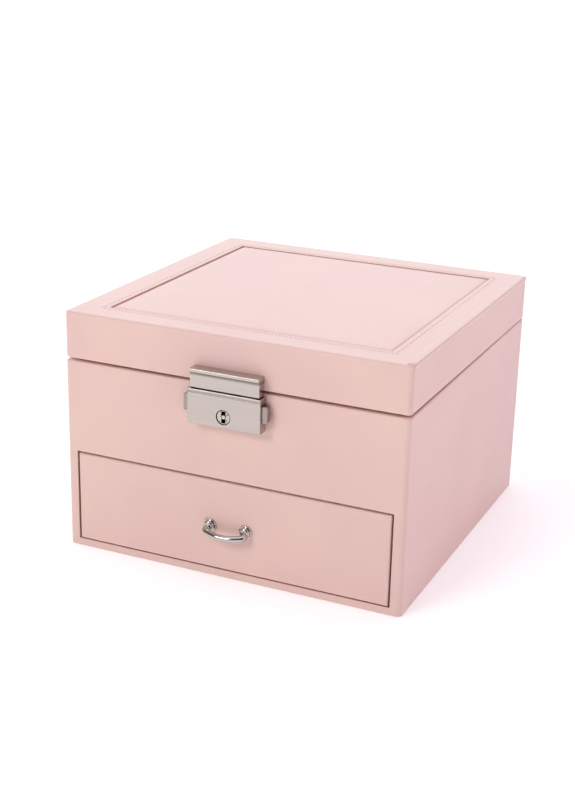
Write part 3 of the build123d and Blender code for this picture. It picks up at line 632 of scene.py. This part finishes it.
def makeRingRolls():
    names = sorted(name for name in nodes if name.startswith("ring_roll"))
    for number, name in enumerate(names):
        low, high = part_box(name)
        centre = (low + high) / 2
        mesh = bpy.data.meshes.new_from_object(nodes[name])
        mesh.materials.clear()
        size = high - low
        shrink = Vector([1 - 2 * ringRoll["shrink"] * mm / side for side in size])
        for vertex in mesh.vertices:
            away = vertex.co - centre
            vertex.co = centre + Vector([away[i] * shrink[i] for i in range(3)])
        piece = addPiece(f"velvet_{name}", mesh, finishes["velvet_foam"], "carcass")
        blocky = piece.modifiers.new("blocky", "REMESH")
        blocky.mode = "VOXEL"
        blocky.voxel_size = ringRoll["voxel"] * mm
        depsgraph = bpy.context.evaluated_depsgraph_get()
        remeshed = bpy.data.meshes.new_from_object(piece.evaluated_get(depsgraph))
        piece.modifiers.remove(blocky)
        piece.data = remeshed
        draw = random.Random(number)
        offset = Vector([draw.uniform(0, 50) for axis in range(3)])
        for vertex in remeshed.vertices:
            lump = noise.noise(vertex.co / (ringRoll["lumpLength"] * mm) + offset)
            vertex.co.x += ringRoll["lumps"] * mm * lump
        for face in remeshed.polygons:
            face.use_smooth = True
        foot = [v.index for v in remeshed.vertices if v.co.z < low.z + ringRoll["gluedHeight"] * mm]
        puffUp(piece, foot, ringRoll["pressure"], ringRoll["cap"] * mm, ringRoll["frames"])
        smoother = piece.modifiers.new("smoother", "SUBSURF")
        smoother.levels = smoother.render_levels = 1
        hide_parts(name)


makeRingRolls()
print("stage: ring rolls")


def makeReturnSprings():
    for side in ("left", "right"):
        name = f"{side}_spring"
        mesh = bpy.data.meshes.new_from_object(nodes[name])
        mesh.materials.clear()
        piece = addPiece(f"{side}_return_spring", mesh, finishes["zinc_plated_steel"], "carcass")
        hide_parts(name)
        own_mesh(piece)


makeReturnSprings()
print("stage: return springs")


# One row of lock stitches in the lid's border, round the pocket.
stitchRow = {"outset": 3.7, "pitch": 4.8, "length": 3.5, "lengthSpread": (0.94, 1.03), "wander": 0.06,
             "radius": 0.17, "sunk": 0.12, "holeRadius": 0.42, "holeSides": 10, "holeRim": 0.03,
             "holeDip": 0.02}


def pushTube(bm, points, radii, around=8):
    # A closed tube through the points, its ends capped flat.
    rings = []
    for index, point in enumerate(points):
        ahead = points[min(index + 1, len(points) - 1)] - points[max(index - 1, 0)]
        side = ahead.cross(Vector((0, 0, 1)))
        side = side.normalized() if side.length > 1e-9 else Vector((1, 0, 0))
        up = side.cross(ahead).normalized()
        rings.append([bm.verts.new(point + radii[index] * (math.cos(t) * side + math.sin(t) * up))
                      for t in (2 * math.pi * k / around for k in range(around))])
    skinRows(bm, rings)


def makeStitchRow():
    threads, holes = bmesh.new(), bmesh.new()
    reachX = panelHigh.x + stitchRow["outset"] * mm
    reachY = panelHigh.y + stitchRow["outset"] * mm
    sides = stitchRow["holeSides"]
    topZ = lidHigh.z
    draw = random.Random(7)
    for start, end in (((-reachX, -reachY), (reachX, -reachY)), ((reachX, -reachY), (reachX, reachY)),
                       ((reachX, reachY), (-reachX, reachY)), ((-reachX, reachY), (-reachX, -reachY))):
        start, end = Vector((*start, topZ)), Vector((*end, topZ))
        run = end - start
        count = round(run.length / (stitchRow["pitch"] * mm))
        step = run / count
        along = run.normalized()
        across = along.cross(Vector((0, 0, 1)))
        for number in range(count):
            wander = draw.uniform(-stitchRow["wander"], stitchRow["wander"])
            middle = start + step * (number + 0.5) + across * wander * mm
            half = stitchRow["length"] / 2 * mm * draw.uniform(*stitchRow["lengthSpread"])
            radius = stitchRow["radius"] * mm
            points, radii = [], []
            # the thread dives into its holes at both ends, and thins there
            for share in (-1, -0.85, -0.5, 0, 0.5, 0.85, 1):
                lift = radius * (1 - abs(share) ** 3 * 2.4) - stitchRow["sunk"] * mm
                points.append(middle + along * half * share + Vector((0, 0, lift)))
                radii.append(radius * (1 - 0.55 * abs(share) ** 4))
            pushTube(threads, points, radii)
            # painted shade: a shallow dark disc at each needle hole
            hole = start + step * number + Vector((0, 0, stitchRow["holeRim"] * mm))
            ring = [holes.verts.new(hole + stitchRow["holeRadius"] * mm * Vector((math.cos(t), math.sin(t), 0)))
                    for t in (2 * math.pi * k / sides for k in range(sides))]
            dip = holes.verts.new(hole - Vector((0, 0, stitchRow["holeDip"] * mm)))
            for k in range(sides):
                holes.faces.new([ring[k], ring[(k + 1) % sides], dip])
    for name, bm, finish in (("lid_stitches", threads, threadFinish),
                             ("lid_needle_holes", holes, holeShadeFinish)):
        mesh = meshFrom(bm, name)
        mesh.transform(lidRest)
        addPiece(name, mesh, finish, "lid")


makeStitchRow()
print("stage: stitch row")


# The sheet round the lid is folded over and glued along its top right edge: a flap one sheet thick with
# a soft inner edge and a crisp outer one.
edgeFold = {"width": 4.8, "thickness": 0.26, "outerRadius": 0.9, "downSide": 2.6, "endGap": 1.6,
            "lengths": 60, "endTaper": 2.0, "waver": 0.10, "waverLength": 9}


def foldProfile(thick):
    # Outward from the lid's edge and up from its top, in millimetres, from the inner edge round to the side.
    width, radius = edgeFold["width"], edgeFold["outerRadius"]
    points = [(-width, -0.12), (-width + 0.03, 0.6 * thick), (-width + 0.2, 0.93 * thick),
              (-width + 0.6, thick), (-width / 2, thick * 0.9)]
    for step in range(6):
        angle = math.pi / 2 * (1 - step / 5)
        points.append((0.06 - radius + radius * math.cos(angle),
                       thick * 0.9 - radius + radius * math.sin(angle)))
    points.append((0.05, -edgeFold["downSide"]))
    points.append((-0.15, -edgeFold["downSide"] - 0.1))
    return points


def makeEdgeFold():
    bm = bmesh.new()
    reachY = lidHigh.y - edgeFold["endGap"] * mm
    count = edgeFold["lengths"]
    rows = []
    draw = random.Random(11)
    drift = Vector((draw.uniform(0, 9), 0, 0))
    for step in range(count + 1):
        y = -reachY + 2 * reachY * step / count
        nearEnd = min(1.0, (reachY - abs(y)) / (edgeFold["endTaper"] * mm))
        thick = edgeFold["thickness"] * math.sqrt(nearEnd) + 0.02
        waver = edgeFold["waver"] * noise.noise(drift + Vector((0, y / (edgeFold["waverLength"] * mm), 1)))
        row = []
        for index, (out, up) in enumerate(foldProfile(thick)):
            # only the inner edge wavers
            shift = waver if index < 4 else 0.0
            row.append(bm.verts.new((lidHigh.x + (out + shift) * mm, y, lidHigh.z + up * mm)))
        rows.append(row)
    skinRows(bm, rows)
    mesh = meshFrom(bm, "lid_fold_right")
    mesh.transform(lidRest)
    addPiece("lid_fold_right", mesh, finishes["leatherette"], "lid")


makeEdgeFold()
print("stage: lid fold")


# At the back the carcass's sheet meets itself in a glued lap: a strip one sheet thick, its edge skived.
backLap = {"inset": 14.0, "width": 9.0, "thickness": 0.35, "skive": 1.2, "footGap": 0.3, "topGap": 1.6,
           "rows": 40, "waver": 0.12, "waverLength": 8}


def makeBackLap():
    low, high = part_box("carcass_cover")
    bm = bmesh.new()
    left = low.x + backLap["inset"] * mm
    bottom, top = low.z + backLap["footGap"] * mm, high.z - backLap["topGap"] * mm
    rows = []
    for step in range(backLap["rows"] + 1):
        z = bottom + (top - bottom) * step / backLap["rows"]
        waver = backLap["waver"] * noise.noise(Vector((3.0, 0, z / (backLap["waverLength"] * mm)))) * mm
        profile = ((0, -0.1), (0.02, 0.75), (0.25, 1.0), (backLap["width"] - backLap["skive"], 0.8),
                   (backLap["width"], 0.05), (backLap["width"], -0.1))
        rows.append([bm.verts.new((left + along * mm + (waver if along < 1 else 0),
                                   high.y + out * backLap["thickness"] * mm, z)) for along, out in profile])
    skinRows(bm, rows)
    mesh = meshFrom(bm, "back_lap")
    addPiece("back_lap", mesh, finishes["leatherette"], "carcass")


makeBackLap()
print("stage: back lap")


# Seamless white floor that glows as painted light, as a light table would, more strongly away from the chest,
# and four soft lights.
studio = {"floorSize": 60.0, "floorWhite": "#F6F5F4", "floorGrain": 90.0, "floorRoughness": (0.8, 0.95),
          "floorGlow": (0.33, 0.9), "glowReach": (0.7, 2.0), "frontSky": 0.14, "backSky": 0.72,
          "leftTint": "#FFFCFA", "rightTint": "#E3C6DC"}


def makeFloor():
    bm = bmesh.new()
    bmesh.ops.create_grid(bm, x_segments=8, y_segments=8, size=studio["floorSize"] / 2)
    mesh = meshFrom(bm, "floor")
    floor = bpy.data.objects.new("floor", mesh)
    scene.collection.objects.link(floor)
    finish, tree, place = newFinish("glowing_white_floor")
    grain = addNode(tree, "ShaderNodeTexNoise", {"Scale": 1 / studio["floorGrain"], "Detail": 2.0},
                    {"Vector": place})
    dull = addNode(tree, "ShaderNodeMapRange", {"To Min": studio["floorRoughness"][0],
                                                "To Max": studio["floorRoughness"][1]},
                   {"Value": grain.outputs[0]})
    away = addNode(tree, "ShaderNodeVectorMath", {"operation": "LENGTH"}, {0: place}).outputs["Value"]
    # painted light: the floor's own glow, which also lights the chest, stronger away from it
    glow = addNode(tree, "ShaderNodeMapRange",
                   {"From Min": studio["glowReach"][0] / mm, "From Max": studio["glowReach"][1] / mm,
                    "To Min": studio["floorGlow"][0], "To Max": studio["floorGlow"][1]}, {"Value": away})
    shader = addNode(tree, "ShaderNodeBsdfPrincipled",
                     {"Base Color": toLinear(studio["floorWhite"]), "Specular IOR Level": 0.1,
                      "Emission Color": (1, 1, 1, 1)},
                     {"Roughness": dull.outputs[0], "Emission Strength": glow.outputs[0]})
    closeFinish(tree, shader)
    mesh.materials.append(finish)


def addSoftbox(name, place, aim, size, radiance, colour="#FFFFFF"):
    light = bpy.data.lights.new(name, "AREA")
    light.shape = "RECTANGLE"
    light.size, light.size_y = size
    light.energy = math.pi * size[0] * size[1] * radiance
    light.color = toLinear(colour)[:3]
    box = bpy.data.objects.new(name, light)
    scene.collection.objects.link(box)
    box.location = place
    box.rotation_euler = (Vector(aim) - Vector(place)).to_track_quat("-Z", "Y").to_euler()


def makeWorld():
    world = bpy.data.worlds.new("studio")
    scene.world = world
    world.use_nodes = True
    tree = world.node_tree
    tree.nodes.clear()
    direction = addNode(tree, "ShaderNodeTexCoord").outputs["Generated"]
    parts = addNode(tree, "ShaderNodeSeparateXYZ", links={0: direction})
    strength = addNode(tree, "ShaderNodeMapRange", {"interpolation_type": "SMOOTHSTEP", "From Min": -0.6,
                                                    "From Max": 0.6, "To Min": studio["frontSky"],
                                                    "To Max": studio["backSky"]},
                       {"Value": parts.outputs["Y"]})
    side = addNode(tree, "ShaderNodeMapRange", {"From Min": -0.2, "From Max": 0.8},
                   {"Value": parts.outputs["X"]})
    tint = addNode(tree, "ShaderNodeMix", {"data_type": "RGBA", 6: toLinear(studio["leftTint"]),
                                           7: toLinear(studio["rightTint"])}, {0: side.outputs[0]})
    sky = addNode(tree, "ShaderNodeBackground",
                  links={"Color": tint.outputs[2], "Strength": strength.outputs[0]})
    addNode(tree, "ShaderNodeOutputWorld", links={"Surface": sky.outputs[0]})


makeFloor()
makeWorld()
addSoftbox("key", (-0.9, -1.9, 1.5), (0, 0, 0.08), (1.1, 0.9), 7.15, "#FFFCF9")
addSoftbox("overhead", (0.1, -0.2, 2.2), (0, 0, 0), (2.0, 1.6), 1.45, "#ECEFFF")
addSoftbox("behind", (-0.8, 2.3, 0.95), (0, 0, 0.15), (3.2, 1.6), 1.3)
addSoftbox("right", (2.0, -0.6, 1.0), (0, 0, 0.08), (0.7, 1.2), 1.95, "#FFDDF6")
print("stage: studio")


camera = {"place": (0.36123, -0.83790, 0.40833), "azimuth": 24.0645, "elevation": 19.7863, "roll": 1.3624,
          "lens": 66.2, "sensor": 36.0}


def makeCamera():
    azimuth, elevation, roll = (math.radians(camera[key]) for key in ("azimuth", "elevation", "roll"))
    back = Vector((math.sin(azimuth) * math.cos(elevation), -math.cos(azimuth) * math.cos(elevation),
                   math.sin(elevation)))
    right = Vector((0, 0, 1)).cross(back).normalized()
    up = back.cross(right)
    turned = math.cos(roll) * right + math.sin(roll) * up
    upright = math.cos(roll) * up - math.sin(roll) * right
    lens = bpy.data.cameras.new("camera")
    lens.lens, lens.sensor_width = camera["lens"], camera["sensor"]
    lens.clip_start, lens.clip_end = 0.01, 50
    eye = bpy.data.objects.new("camera", lens)
    scene.collection.objects.link(eye)
    turn = Matrix((turned, upright, back)).transposed().to_4x4()
    eye.matrix_world = Matrix.Translation(camera["place"]) @ turn
    scene.camera = eye


makeCamera()
